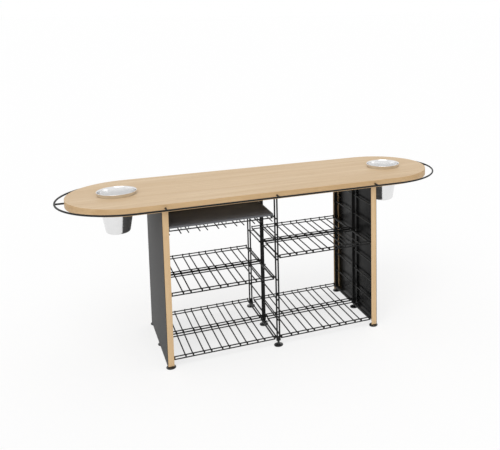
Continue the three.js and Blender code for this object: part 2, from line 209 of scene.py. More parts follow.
# strength of the bumps in each finish, and their depth in metres
relief = {"oak": (0.12, 0.0004), "coat": (0.1, 0.0002), "metal": (0.03, 0.0001), "sheet": (0.04, 0.0001)}
coatRoughness = 0.08  # of the clear coat over a sprayed finish


def finishFrom(tree, shader, group, values, bumps, turn=(0, 0, 0)):
    # place a finish group, set its values and lead its outputs to the shader
    place = addNode(tree, "ShaderNodeGroup", node_tree=group)
    where = addNode(tree, "ShaderNodeTexCoord").outputs["Object"]
    if any(turn):
        where = stretched(tree, where, (1, 1, 1), turn)
    tree.links.new(where, place.inputs["Vector"])
    for key, value in values.items():
        place.inputs[key].default_value = value
    tree.links.new(place.outputs["Color"], shader.inputs["Base Color"])
    tree.links.new(place.outputs["Roughness"], shader.inputs["Roughness"])
    node = addNode(tree, "ShaderNodeBump")
    node.inputs["Strength"].default_value, node.inputs["Distance"].default_value = relief[bumps]
    tree.links.new(place.outputs["Height"], node.inputs["Height"])
    tree.links.new(node.outputs["Normal"], shader.inputs["Normal"])
    return place


def oakMaterial(name, look):
    material, tree, shader = startMaterial(name)
    values = {key.capitalize(): toLinear(*look[key]) for key in ("pale", "warm", "pore")}
    finishFrom(tree, shader, oakFigure, values, "oak", look["turn"])
    return material


def coatMaterial(name, look):
    material, tree, shader = startMaterial(name)
    values = {"Tone": toLinear(*look["tone"]), "Worn": toLinear(*look["worn"]), "Gloss": look["gloss"],
              "Grain": look["grain"]}
    finishFrom(tree, shader, sprayedCoat, values, "coat")
    shader.inputs["Specular IOR Level"].default_value = look.get("shine", 0.5)
    shader.inputs["Coat Weight"].default_value = look.get("coat", 0.0)
    shader.inputs["Coat Roughness"].default_value = coatRoughness
    return material


def metalMaterial(name, look):
    material, tree, shader = startMaterial(name)
    values = {"Tone": toLinear(*look["tone"]), "Dull": toLinear(*look["dull"]), "Gloss": look["gloss"]}
    finishFrom(tree, shader, rubbedMetal, values, "metal")
    shader.inputs["Metallic"].default_value = 1.0
    return material


def sheetMaterial(name, look):
    # outer face matt and paler, inner face dark and glossy, its darkness partly its own finish and partly
    # painted shade of the bay's inside: told apart by how far along X they are
    material, tree, shader = startMaterial(name)
    values = {"Tone": toLinear(*look["inner"]), "Worn": toLinear(*look["innerWorn"]),
              "Gloss": look["innerGloss"], "Grain": look["grain"]}
    place = finishFrom(tree, shader, sprayedCoat, values, "sheet")
    where = addNode(tree, "ShaderNodeTexCoord").outputs["Object"]
    apart = addNode(tree, "ShaderNodeSeparateXYZ")
    tree.links.new(where, apart.inputs["Vector"])
    outside = maths(tree, "GREATER_THAN", maths(tree, "ABSOLUTE", apart.outputs["X"]), look["split"])
    colour = mixed(tree, outside, place.outputs["Color"], toLinear(*look["outer"]))
    mottle = noiseOf(tree, where, look["mottle"], 3.0)
    colour = mixed(tree, ranged(tree, mottle, 0.3, 0.8, 0.0, 0.12), colour, toLinear(*look["innerWorn"]))
    tree.links.new(colour, shader.inputs["Base Color"])
    gloss = addNode(tree, "ShaderNodeMix", data_type="FLOAT")
    tree.links.new(outside, gloss.inputs[0])
    tree.links.new(place.outputs["Roughness"], gloss.inputs[2])
    gloss.inputs[3].default_value = look["outerGloss"]
    tree.links.new(gloss.outputs[0], shader.inputs["Roughness"])
    shader.inputs["Specular IOR Level"].default_value = look["shine"]
    return material


along, upwards = (0, 0, 0), (0, math.pi / 2, 0)  # how the grain is turned
oaks = {
    "topOak": {"pale": (222, 198, 165), "warm": (205, 176, 137), "pore": (176, 143, 102), "turn": along},
    # the edge oak is the top's oak painted darker and warmer, as painted shade on the top's side faces
    "edgeOak": {"pale": (212, 181, 138), "warm": (196, 161, 115), "pore": (165, 129, 86), "turn": along},
    "stripOak": {"pale": (221, 193, 152), "warm": (205, 172, 128), "pore": (176, 141, 98), "turn": upwards},
}
coats = {
    "wireBlack": {"tone": (20, 20, 20), "worn": (32, 32, 31), "gloss": 0.45, "grain": 0.6, "shine": 0.2},
    "trayBlack": {"tone": (90, 91, 94), "worn": (98, 99, 102), "gloss": 0.45, "grain": 0.5, "shine": 0.25},
    "footBlack": {"tone": (8, 8, 8), "worn": (14, 14, 14), "gloss": 0.32, "grain": 0.2, "coat": 0.2},
}
metals = {
    "bucketSteel": {"tone": (232, 232, 232), "dull": (218, 218, 219), "gloss": 0.14},
    "zincSteel": {"tone": (170, 172, 175), "dull": (140, 142, 146), "gloss": 0.3},
}
# the inner tone is partly the sheet's own dark finish and partly painted shade of the bay's inside
sheets = {
    "panelGrey": {"inner": (5, 5, 5), "innerWorn": (9, 9, 9), "innerGloss": 0.3, "outer": (81, 81, 81),
                  "outerGloss": 0.6, "grain": 0.3, "mottle": 60.0, "shine": 0.07, "split": 0.6175},
}
looks = {name: make(name, look)
         for make, finishes in ((oakMaterial, oaks), (coatMaterial, coats), (metalMaterial, metals),
                                (sheetMaterial, sheets))
         for name, look in finishes.items()}
print("finishes made:", len(looks))


# surfaces

def roundedPath(points, bend, steps=6):
    # a line through the points, each inner corner replaced by a curve from a bend before it to a bend after
    points = [np.array(point, float) for point in points]
    line = [points[0]]
    share = np.linspace(0, 1, steps + 1)[:, None]
    for before, corner, after in zip(points, points[1:], points[2:]):
        start = corner + (before - corner) / np.linalg.norm(before - corner) * bend
        end = corner + (after - corner) / np.linalg.norm(after - corner) * bend
        weight = 0.7071  # makes the curve a true quarter circle at a square corner
        top = (1 - share) ** 2 * start + 2 * weight * share * (1 - share) * corner + share ** 2 * end
        line.extend(top / ((1 - share) ** 2 + 2 * weight * share * (1 - share) + share ** 2))
    line.append(points[-1])
    return np.array(line)


wireEnd = {"trim": 0.3, "flat": 0.72}  # how a wire's end is drawn in, in shares of its radius


def wireAlong(path, radius, across, sides=12):
    # round wire: each point of the path carries a circle in the plane square to the path, across is the
    # normal of the plane that the path lies in, and both ends are drawn in to a small flat
    path = np.asarray(path, float)
    first = (path[1] - path[0]) / np.linalg.norm(path[1] - path[0])
    last = (path[-1] - path[-2]) / np.linalg.norm(path[-1] - path[-2])
    trim = radius * wireEnd["trim"]
    path = np.vstack([path[:1], path[:1] + first * trim, path[1:-1], path[-1:] - last * trim, path[-1:]])
    steps = np.diff(path, axis=0)
    steps /= np.linalg.norm(steps, axis=1)[:, None]
    along = np.vstack([steps[:1], steps[:-1] + steps[1:], steps[-1:]])
    along /= np.linalg.norm(along, axis=1)[:, None]
    across = np.asarray(across, float)
    side = np.cross(along, across)
    side /= np.linalg.norm(side, axis=1)[:, None]
    size = np.full(len(path), radius)
    size[[0, -1]] = radius * wireEnd["flat"]
    turn = np.linspace(0, 2 * np.pi, sides, endpoint=False)
    ring = np.cos(turn)[None, :, None] * side[:, None] + np.sin(turn)[None, :, None] * across
    points = path[:, None] + size[:, None, None] * ring
    faces = gridFaces(len(path), sides)
    caps = [list(range(sides))[::-1], [(len(path) - 1) * sides + k for k in range(sides)]]
    return points.reshape(-1, 3), [face[::-1] for face in faces + caps]


def gridFaces(rows, columns):
    # four-sided faces between neighbouring rings of a grid whose columns close on themselves
    row, column = np.meshgrid(np.arange(rows - 1), np.arange(columns), indexing="ij")
    nextRow = row + 1
    nextColumn = (column + 1) % columns
    faces = np.stack([row * columns + column, row * columns + nextColumn, nextRow * columns + nextColumn,
                      nextRow * columns + column], axis=-1)
    return faces.reshape(-1, 4).tolist()


def turned(profile, sides, place=(0, 0, 0)):
    # a profile of radius and height pairs carried round an upright line, on which both of its ends lie
    profile = np.asarray(profile, float)
    turn = np.linspace(0, 2 * np.pi, sides, endpoint=False)
    body = profile[1:-1]
    points = np.stack([body[:, :1] * np.cos(turn), body[:, :1] * np.sin(turn),
                       np.repeat(body[:, 1:], sides, axis=1)], axis=-1).reshape(-1, 3)
    faces = gridFaces(len(body), sides)
    low = len(points)
    points = np.vstack([points, [[0, 0, profile[0, 1]], [0, 0, profile[-1, 1]]]])
    end = (len(body) - 1) * sides
    faces += [[low, (k + 1) % sides, k] for k in range(sides)]
    faces += [[low + 1, end + k, end + (k + 1) % sides] for k in range(sides)]
    return points + np.array(place), faces


def roundedOutline(corners, radius, steps=3):
    # a closed outline with each corner replaced by a short curve; the last corner joins the first
    corners = [np.array(corner, float) for corner in corners]
    count = len(corners)
    share = np.linspace(0, 1, steps + 1)[:, None]
    line = []
    for k in range(count):
        before, corner, after = corners[k - 1], corners[k], corners[(k + 1) % count]
        start = corner + (before - corner) / np.linalg.norm(before - corner) * radius
        end = corner + (after - corner) / np.linalg.norm(after - corner) * radius
        line.append((1 - share) ** 2 * start + 2 * share * (1 - share) * corner + share ** 2 * end)
    return np.vstack(line)


def outlineNormals(outline):
    # outward direction at each point of a closed outline that runs anticlockwise
    step = np.roll(outline, -1, axis=0) - outline
    step /= np.linalg.norm(step, axis=1)[:, None]
    normal = np.stack([step[:, 1], -step[:, 0]], axis=1)
    normal = normal + np.roll(normal, 1, axis=0)
    return normal / np.linalg.norm(normal, axis=1)[:, None]


def extruded(outline, low, high, ease, axes):
    # an outline carried straight from low to high, its ends eased in by a small chamfer; axes are the three
    # directions that the outline's two numbers and the carry run along
    normal = outlineNormals(outline)
    inner = outline - normal * ease
    heights = np.array([low, low + ease, high - ease, high])
    loops = np.stack([inner, outline, outline, inner])
    count = len(outline)
    levels = np.repeat(heights[:, None, None], count, axis=1)
    points = np.concatenate([loops, levels], axis=2).reshape(-1, 3)
    faces = gridFaces(4, count)
    cap = tessellate_polygon([[Vector((x, y, 0)) for x, y in inner]])
    faces += [orderedFace(inner, face)[::-1] for face in cap]
    faces += [[k + 3 * count for k in orderedFace(inner, face)] for face in cap]
    axes = np.array(axes, float)
    if np.linalg.det(axes) < 0:
        faces = [face[::-1] for face in faces]
    return points @ axes, faces


def orderedFace(outline, face):
    # the same three corners, running anticlockwise
    a, b, c = (outline[k] for k in face)
    area = (b[0] - a[0]) * (c[1] - a[1]) - (b[1] - a[1]) * (c[0] - a[0])
    return list(face) if area > 0 else list(face)[::-1]


def upright(xs, ys, low, high, edge, ease):
    # a box from low to high with rounded upright edges and eased ends
    (left, right), (front, rear) = xs, ys
    corners = [(left, front), (right, front), (right, rear), (left, rear)]
    return extruded(roundedOutline(corners, edge), low, high, ease, uprightAxes)


def makePiece(name, shapes, look, body, nodes, flat=30):
    # join the shapes into one mesh at the origin, and hang it on its body in place of its solids
    points = []
    faces = []
    start = 0
    for shapePoints, shapeFaces in shapes:
        points.append(np.asarray(shapePoints, float))
        faces.extend([[start + k for k in face] for face in shapeFaces])
        start += len(shapePoints)
    mesh = bpy.data.meshes.new(name)
    mesh.from_pydata(np.vstack(points).tolist(), [], faces)
    mesh.shade_smooth()
    mesh.set_sharp_from_angle(angle=math.radians(flat))
    mesh.materials.append(looks[look])
    piece = bpy.data.objects.new(name, mesh)
    bpy.context.scene.collection.objects.link(piece)
    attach(piece, body)
    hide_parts(*nodes)
    return piece


def shifted(shapes, x, y, z, halfTurn=False):
    # the same shapes moved into place, turned half round first where they belong to the rear
    sign = np.array([-1, -1, 1]) if halfTurn else np.array([1, 1, 1])
    return [(points * sign + np.array([x, y, z]), faces) for points, faces in shapes]


xAxis, yAxis, zAxis = uprightAxes = (1, 0, 0), (0, 1, 0), (0, 0, 1)
ends = {"left": -1, "right": 1}
framePlaces = {"left": -counter["bay"] * mm, "centre": 0.0, "right": counter["bay"] * mm}
rowPlaces = {"front": -counter["posts"] * mm, "middle": 0.0, "rear": counter["posts"] * mm}

# counter top: half-round ends, softened edges, tapered holes for the buckets
top = {"width": 660, "thickness": 42, "length": 2146, "ease": 1.6, "bucketX": 808, "holeTop": 100.99,
       "holeSlope": 0.164, "holeEase": 0.6, "arcSteps": 72, "holeSteps": 96, "easeSteps": 4}


def topOutline(inset):
    # straight sides and half circles, all drawn in by the inset
    radius = (top["width"] / 2 - inset) * mm
    arc = (top["length"] / 2 - top["width"] / 2) * mm
    angle = np.linspace(-np.pi / 2, np.pi / 2, top["arcSteps"] + 1)
    right = np.stack([arc + radius * np.cos(angle), radius * np.sin(angle)], axis=1)
    return np.vstack([right, -right])


def makeTop():
    # the outline drawn in by a quarter circle at each edge, the holes' cones, and flat faces between them
    high = counter["height"] * mm
    low = high - top["thickness"] * mm
    ease = top["ease"]
    angle = np.linspace(0, np.pi / 2, top["easeSteps"])
    inset = np.concatenate([ease * (1 - np.sin(angle)), ease * (1 - np.cos(angle))])
    height = np.concatenate([low + ease * mm * (1 - np.cos(angle)), high - ease * mm * (1 - np.sin(angle))])
    count = 2 * (top["arcSteps"] + 1)
    loops = [np.column_stack([topOutline(i), np.full(count, z)]) for i, z in zip(inset, height)]
    shapes = [(np.vstack(loops), gridFaces(len(loops), count))]
    turn = np.linspace(0, 2 * np.pi, top["holeSteps"], endpoint=False)
    flared = top["holeEase"]
    rims = {"low": [], "high": []}
    for sign in (-1, 1):
        middle = np.array([sign * top["bucketX"] * mm, 0])
        rings = []
        for z, flare in ((low, flared), (low + flared * mm, 0), (high - flared * mm, 0), (high, flared)):
            radius = (top["holeTop"] + flare) * mm - (high - z) * top["holeSlope"]
            ring = middle + radius * np.stack([np.cos(turn), np.sin(turn)], axis=1)
            rings.append(np.column_stack([ring, np.full(len(turn), z)]))
        shapes.append((np.vstack(rings), [face[::-1] for face in gridFaces(4, len(turn))]))
        rims["low"].append(rings[0])
        rims["high"].append(rings[-1])
    for key, outer in (("low", loops[0]), ("high", loops[-1])):
        polygons = [outer, *rims[key]]
        flatPoints = np.vstack(polygons)
        cap = tessellate_polygon([[Vector((x, y, 0)) for x, y, _ in polygon] for polygon in polygons])
        faces = [orderedFace(flatPoints[:, :2], face) for face in cap]
        shapes.append((flatPoints, faces if key == "high" else [face[::-1] for face in faces]))
    piece = makePiece("oakTop", shapes, "topOak", bodyRoot, ["counter_top"])
    mesh = piece.data
    # the side faces take the edge oak, which carries painted shade
    mesh.materials.append(looks["edgeOak"])
    normals = np.zeros(len(mesh.polygons) * 3)
    mesh.polygons.foreach_get("normal", normals)
    shadedEdgeFaces = np.abs(normals.reshape(-1, 3)[:, 2]) < 0.5
    mesh.polygons.foreach_set("material_index", shadedEdgeFaces.astype(int))


makeTop()
print("counter top made")

# guard rail: round bar carried on stand-offs that screw into the edge
rail = {"radius": 5.0, "offset": 48, "stud": 3.0, "studDepth": 20, "studIn": 4, "gap": 0.2, "sides": 20,
        "studSides": 16, "bowPoints": 97}


def makeRail():
    # straight bars along the sides and half circles round the ends, each with stand-offs and their studs
    z = (counter["height"] - top["thickness"] / 2) * mm
    reach = (top["width"] / 2 + rail["offset"]) * mm
    edge = top["width"] / 2 * mm
    arc = (top["length"] / 2 - top["width"] / 2) * mm
    end = arc - rail["gap"] / 2 * mm
    deep, studIn = rail["studDepth"] * mm, rail["studIn"] * mm

    def bar(path):
        return wireAlong(path, rail["radius"] * mm, zAxis, rail["sides"])

    def stud(path):
        return wireAlong(path, rail["stud"] * mm, zAxis, rail["studSides"])

    for side, sign in (("front", -1), ("rear", 1)):
        shapes = [bar([(-end, sign * reach, z), (end, sign * reach, z)])]
        for x in framePlaces.values():
            shapes.append(bar([(x, sign * edge, z), (x, sign * reach, z)]))
            shapes.append(stud([(x, sign * (edge - deep), z), (x, sign * (edge + studIn), z)]))
        makePiece("railBar_" + side, shapes, "wireBlack", bodyRoot, ["rail_" + side])
    spare = rail["gap"] / 2 * mm / reach
    angle = np.linspace(-np.pi / 2 + spare, np.pi / 2 - spare, rail["bowPoints"])
    for side, sign in ends.items():
        bow = np.column_stack([sign * (arc + reach * np.cos(angle)), reach * np.sin(angle),
                               np.full(len(angle), z)])
        tip = sign * (arc + reach)
        rim = sign * (arc + edge)
        shapes = [bar(bow), bar([(rim, 0, z), (tip, 0, z)]),
                  stud([(rim - sign * deep, 0, z), (rim + sign * studIn, 0, z)])]
        makePiece("railBow_" + side, shapes, "wireBlack", bodyRoot, ["rail_" + side])


makeRail()
print("guard rail made")

# buckets: tapered drawn steel with a rolled rim
bucket = {"rim": 104, "base": 63, "height": 235, "rise": 20, "wall": 2.0, "corner": 18, "bead": 1.4,
          "overhang": 1.4, "neck": 6, "throat": (2.4, 8.0, 16.0), "sides": 96, "flat": 50}


def bucketProfile():
    # outside from the middle of the base up to the rolled rim, then down the inside
    slope = (bucket["rim"] - bucket["base"]) / bucket["height"]
    lean = math.atan(slope)
    corner = bucket["corner"]
    middle = bucket["base"] + corner * slope - corner / math.cos(lean)
    angle = np.linspace(-np.pi / 2, -lean, 10)
    outside = np.stack([middle + corner * np.cos(angle), corner + corner * np.sin(angle)], axis=1)
    inner = corner - bucket["wall"]
    inside = np.stack([middle + inner * np.cos(angle), corner + inner * np.sin(angle)], axis=1)[::-1]
    edge, height, bead = bucket["rim"], bucket["height"], bucket["bead"]
    beadMiddle = np.array([edge - bead + bucket["overhang"], height - bead])
    roll = np.linspace(-0.9, np.pi + 0.15, 12)  # from under the outside, over the top, to the inside
    rim = beadMiddle + bead * np.stack([np.cos(roll), np.sin(roll)], axis=1)
    neck = np.array([[edge - bucket["neck"] * slope, height - bucket["neck"]]])
    depth = np.array(bucket["throat"])
    throat = np.stack([edge - bucket["wall"] - depth * slope, height - depth], axis=1)
    profile = np.vstack([[[0, 0]], outside, neck, rim, throat, inside, [[0, bucket["wall"]]]])
    return profile * mm


def makeBuckets():
    profile = bucketProfile()
    low = (counter["height"] + bucket["rise"] - bucket["height"]) * mm
    for side, sign in ends.items():
        shape = turned(profile, bucket["sides"], (sign * top["bucketX"] * mm, 0, low))
        name = "bucket_" + side
        makePiece("steelBucket_" + side, [shape], "bucketSteel", name, [name],
                  bucket["flat"])


makeBuckets()
print("buckets made")

# ladder frames: posts of two rods, rungs welded through the gap, shoes below and a flat bar under the top
ladder = {"rod": 4.5, "spacing": 14.5, "rodIn": 4, "rodSides": 20, "rung": 4.0, "rungSides": 18,
          "firstRung": 33, "spaces": 7, "closer": 5, "closerEdge": 0.6, "closerEase": 0.4, "shoeLow": 29,
          "shoeHeight": 24, "shoeDepth": 13, "shoeEdge": 1.5, "bar": 5, "barIn": 1, "barOverhang": 6,
          "barEdge": 2, "ease": 0.6}
topBottom = counter["height"] - top["thickness"]
rungPitch = (topBottom - ladder["bar"] / 2 - ladder["firstRung"]) / ladder["spaces"]


def rungHeight(rung):
    # the first rung's height plus one pitch for each rung above it
    return (ladder["firstRung"] + rung * rungPitch) * mm


def ladderShapes(clad):
    # a flat bar closes the gap of the middle post, and of every post of a clad frame
    shapes = []
    half = (ladder["spacing"] / 2 + ladder["rod"]) * mm
    shoeTop = (ladder["shoeLow"] + ladder["shoeHeight"]) * mm
    barLow = (topBottom - ladder["bar"]) * mm
    low, high = shoeTop - ladder["rodIn"] * mm, barLow + ladder["barIn"] * mm
    gap, ease = ladder["spacing"] / 2 * mm, ladder["ease"] * mm
    for y in rowPlaces.values():
        for x in (-gap, gap):
            path = [(x, y, low), (x, y, high)]
            shapes.append(wireAlong(path, ladder["rod"] * mm, xAxis, ladder["rodSides"]))
        if clad or y == rowPlaces["middle"]:
            deep = ladder["closer"] / 2 * mm
            shapes.append(upright((-gap, gap), (y - deep, y + deep), low, high, ladder["closerEdge"] * mm,
                                  ladder["closerEase"] * mm))
        deep = ladder["shoeDepth"] / 2 * mm
        shapes.append(upright((-half, half), (y - deep, y + deep), ladder["shoeLow"] * mm, shoeTop,
                              ladder["shoeEdge"] * mm, ease))
    reach = (counter["posts"] + ladder["rod"]) * mm
    for rung in range(ladder["spaces"]):
        path = [(0, -reach, rungHeight(rung)), (0, reach, rungHeight(rung))]
        shapes.append(wireAlong(path, ladder["rung"] * mm, zAxis, ladder["rungSides"]))
    end = (counter["posts"] + ladder["barOverhang"]) * mm
    shapes.append(upright((-half, half), (-end, end), barLow, topBottom * mm, ladder["barEdge"] * mm, ease))
    return shapes


def makeFrames():
    for name, x in framePlaces.items():
        shapes = shifted(ladderShapes(name in ends), x, 0, 0)
        makePiece("ladderFrame_" + name, shapes, "wireBlack", bodyRoot, ["frame_" + name])


makeFrames()
print("ladder frames made")

# levelling feet: a glossy pad with a neck on a threaded stem
foot = {"radius": 26, "rim": 7, "bulge": 0.6, "height": 10, "domeDip": 0.6, "neck": 6.5, "neckFoot": 2.5,
        "fillet": ((0.9, 0.4), (0.2, 1.6), (0, 3)), "neckTop": 28.7, "neckEase": 0.5, "socket": 4.3,
        "socketEase": 0.4, "socketDepth": 14, "sides": 48, "flat": 40, "stem": 4.0, "thread": 1.25,
        "threadDepth": 0.6, "stemGap": 0.3, "stemTop": 50, "stemRows": 150, "stemSides": 24, "stemFlat": 60}


def padProfile():
    # flat underside, rounded rim, a shallow dome up to the neck and a socket down the middle
    angle = np.linspace(-np.pi / 2, np.pi / 2, 9)
    rimRadius = foot["rim"] / 2
    bulge = rimRadius * foot["bulge"]
    start = foot["radius"] - bulge
    rim = np.stack([start + bulge * np.cos(angle), rimRadius + rimRadius * np.sin(angle)], axis=1)
    out = np.linspace(1, 0, 7)[1:]
    neck, upper, socket = foot["neck"], foot["neckTop"], foot["socket"]
    inner = neck + foot["neckFoot"]
    rise = foot["height"] - foot["domeDip"] - foot["rim"]
    dome = np.stack([inner + (start - inner) * out, foot["rim"] + rise * (1 - out ** 2)], axis=1)
    fillet = np.array([neck, foot["height"]]) + foot["fillet"]
    rounding, flare = foot["neckEase"], foot["socketEase"]
    floor = upper - foot["socketDepth"]
    mouth = np.array([[neck, upper - rounding], [neck - rounding, upper], [socket + flare, upper],
                      [socket, upper - flare], [socket, floor], [0, floor]])
    return np.vstack([[[0, 0]], rim, dome, fillet, mouth]) * mm


def stemShape(x, y):
    # threaded rod: the radius rises and falls once for each pitch, and the crest climbs one pitch in a turn
    low = (foot["neckTop"] - foot["socketDepth"] + foot["stemGap"]) * mm
    high = foot["stemTop"] * mm
    pitch, deep = foot["thread"] * mm, foot["threadDepth"] * mm
    rows, sides = foot["stemRows"], foot["stemSides"]
    z = np.linspace(low, high, rows)[:, None]
    turn = np.linspace(0, 2 * np.pi, sides, endpoint=False)[None, :]
    phase = (z / pitch - turn / (2 * np.pi)) % 1
    fade = np.clip(np.minimum(z - low, high - z) / (2 * pitch), 0, 1)
    radius = foot["stem"] * mm - deep * (1 - fade) - deep * fade * np.abs(2 * phase - 1)
    points = np.stack([x + radius * np.cos(turn), y + radius * np.sin(turn), np.repeat(z, sides, axis=1)],
                      axis=-1)
    faces = gridFaces(rows, sides)
    faces += [list(range(sides))[::-1], [(rows - 1) * sides + k for k in range(sides)]]
    return points.reshape(-1, 3), faces


def makeFeet():
    profile = padProfile()
    for frameName, x in framePlaces.items():
        for rowName, y in rowPlaces.items():
            key = frameName + "_" + rowName
            body = "foot_" + key
            makePiece("footPad_" + key, [turned(profile, foot["sides"], (x, y, 0))], "footBlack", body,
                      ["foot_pad_" + key], foot["flat"])
            makePiece("footStem_" + key, [stemShape(x, y)], "zincSteel", body, ["foot_stem_" + key],
                      foot["stemFlat"])


makeFeet()
print("feet made")

# clad ends: oak strips over the outer posts with a lip along the sheet, and a thin dark sheet outside them
cladding = {"half": 16, "groove": 12.5, "front": 311, "web": 4, "grip": 17, "low": 11, "high": 870.5,
            "sheet": 2, "stripEdge": 0.8, "stripEase": 0.6, "sheetEdge": 0.4, "sheetEase": 0.3}


def makeCladding():
    # a strip is an outline with one lip, carried up the post; the rear ones are turned half round
    half, groove, front, sheet = (cladding[key] * mm for key in ("half", "groove", "front", "sheet"))
    floor = -front + cladding["web"] * mm
    back = floor + cladding["grip"] * mm
    corners = [(-half, -front), (half, -front), (half, back), (groove, back), (groove, floor),
               (-half, floor)]
    mirrored = [(-x, y) for x, y in reversed(corners)]
    low, high = cladding["low"] * mm, cladding["high"] * mm
    strips = {}  # by the side that the lip is on
    for sign, outline in ((1, corners), (-1, mirrored)):
        strips[sign] = extruded(roundedOutline(outline, cladding["stripEdge"] * mm), low, high,
                                cladding["stripEase"] * mm, uprightAxes)
    for side, sign in ends.items():
        x = framePlaces[side]
        for row in ("front", "rear"):
            key = side + "_" + row
            strip = strips[-sign if row == "rear" else sign]
            makePiece("oakStrip_" + key, shifted([strip], x, 0, 0, row == "rear"), "stripOak", bodyRoot,
                      ["oak_strip_" + key])
        near = x + sign * half
        panel = upright(sorted((near, near + sign * sheet)), (-front, front), low, high,
                        cladding["sheetEdge"] * mm, cladding["sheetEase"] * mm)
        makePiece("sidePanel_" + side, [panel], "panelGrey", bodyRoot, ["side_sheet_" + side])


makeCladding()
print("clad ends made")

# wire shelves: two trusses, deck wires laid on their lower wires, and hooks that go over the rungs
shelf = {"inset": 20, "depth": 280, "edge": 296, "wire": 3.4, "deck": 3.6, "side": 3.0, "lower": 6.8,
         "truss": 16, "weld": 0.6, "deckBend": 5.5, "hook": 2.5, "hookFar": 6.8, "hookDrop": 7,
         "hookBend": 4.5, "hookRows": {"left": (24, 246), "right": (34, 256)},
         "rungs": {"left": {"lower": 0, "upper": 3}, "right": {"lower": 0, "upper": 4}}}
shelf["upper"] = shelf["lower"] + shelf["truss"]
shelf["leg"] = 2 * shelf["side"] - shelf["weld"]
shelf["deckHeight"] = shelf["lower"] + shelf["leg"]


def deckPlaces():
    # two wires in each cell, an inset away from its left and its right
    start = np.arange(counter["cells"]) * counter["cell"]
    return np.stack([start + shelf["inset"], start + counter["cell"] - shelf["inset"]], axis=1).ravel()


def rimShapes():
    # upper and lower wires of both trusses, side wires and hooks, from the left post and the outer truss
    shapes = []
    bay, inset, depth = counter["bay"] * mm, shelf["inset"] * mm, shelf["depth"] * mm
    wire, side = shelf["wire"] * mm, shelf["side"] * mm
    low, high = shelf["lower"] * mm, shelf["upper"] * mm
    for y in (0, depth):
        for z in (low, high):
            shapes.append(wireAlong([(inset - side, y, z), (bay - inset + side, y, z)], wire, zAxis))
    for end, axis, sign in (("left", 0, 1), ("right", bay, -1)):
        x = axis + sign * inset
        shapes.append(wireAlong([(x, 0, low), (x, depth, low)], side, zAxis))
        far = axis - sign * shelf["hookFar"] * mm
        for row in shelf["hookRows"][end]:
            y = row * mm
            corners = [(x, y, low), (far, y, low), (far, y, low - shelf["hookDrop"] * mm)]
            path = roundedPath(corners, shelf["hookBend"] * mm)
            shapes.append(wireAlong(path, shelf["hook"] * mm, yAxis))
    return shapes


def makeShelves():
    # the rim with deck wires laid on the lower wires, their ends bent up past the upper ones
    shapes = rimShapes()
    leg, deck = shelf["leg"] * mm, shelf["deckHeight"] * mm
    tip = (shelf["upper"] + shelf["wire"]) * mm
    back = shelf["depth"] * mm + leg
    for x in deckPlaces() * mm:
        corners = [(x, -leg, tip), (x, -leg, deck), (x, back, deck), (x, back, tip)]
        shapes.append(wireAlong(roundedPath(corners, shelf["deckBend"] * mm), shelf["deck"] * mm, xAxis))
    bay, edge = counter["bay"] * mm, shelf["edge"] * mm
    for side, start in (("left", -bay), ("right", 0.0)):
        for level, rung in shelf["rungs"][side].items():
            z = rungHeight(rung)
            for face, place in (("front", (start, -edge, z)), ("rear", (start + bay, edge, z))):
                key = side + "_" + level + "_" + face
                body = "shelf_" + key
                makePiece("wireShelf_" + key, shifted(shapes, *place, face == "rear"), "wireBlack", body,
                          [body])


makeShelves()
print("wire shelves made")

# glass rack: the same rim with struts and straight deck wires under a folded tray, and hung hairpin rails
rack = {"rung": 6, "overhang": 10, "strut": 2.0, "railSetback": 2, "railDrop": 21, "railBend": 12,
        "riserRun": 30, "riserBend": 7, "riserGap": 0.3}
tray = {"sheet": 2.0, "frontLip": 9, "rearLip": 16, "gap": 0.3, "side": 17, "edge": 0.9, "ease": 0.5}
rack["deckHeight"] = shelf["upper"] + shelf["leg"]


def makeRack():
    # each stem rail is a flat hairpin with two risers at its closed end that reach up to the rack
    bay, edge, z = counter["bay"] * mm, shelf["edge"] * mm, rungHeight(rack["rung"])
    shapes = rimShapes()
    low, high, deck = shelf["lower"] * mm, shelf["upper"] * mm, rack["deckHeight"] * mm
    front, rear = -rack["overhang"] * mm, (shelf["depth"] + shelf["side"]) * mm
    wire = shelf["side"] * mm
    for x in deckPlaces() * mm:
        shapes.append(wireAlong([(x, front, deck), (x, rear, deck)], wire, zAxis))
        for y in (0, shelf["depth"] * mm):
            shapes.append(wireAlong([(x, y, low), (x, y, high)], rack["strut"] * mm, xAxis))
    makePiece("glassRack", shifted(shapes, -bay, -edge, z), "wireBlack", "glass_rack", ["glass_rack"])
    railZ = (shelf["lower"] - rack["railDrop"]) * mm
    front, rear = rack["railSetback"] * mm, shelf["depth"] * mm
    tip = (shelf["lower"] - shelf["side"] - rack["riserGap"]) * mm
    for cell, (left, right) in enumerate(deckPlaces().reshape(-1, 2) * mm, 1):
        corners = [(left, front, railZ), (left, rear, railZ), (right, rear, railZ), (right, front, railZ)]
        shapes = [wireAlong(roundedPath(corners, rack["railBend"] * mm), wire, zAxis)]
        for x in (left, right):
            corners = [(x, rear - rack["riserRun"] * mm, railZ), (x, rear, railZ), (x, rear, tip)]
            shapes.append(wireAlong(roundedPath(corners, rack["riserBend"] * mm), wire, xAxis))
        makePiece("stemRail_" + str(cell), shifted(shapes, -bay, -edge, z), "wireBlack", "glass_rack",
                  ["stem_rail_" + str(cell)])


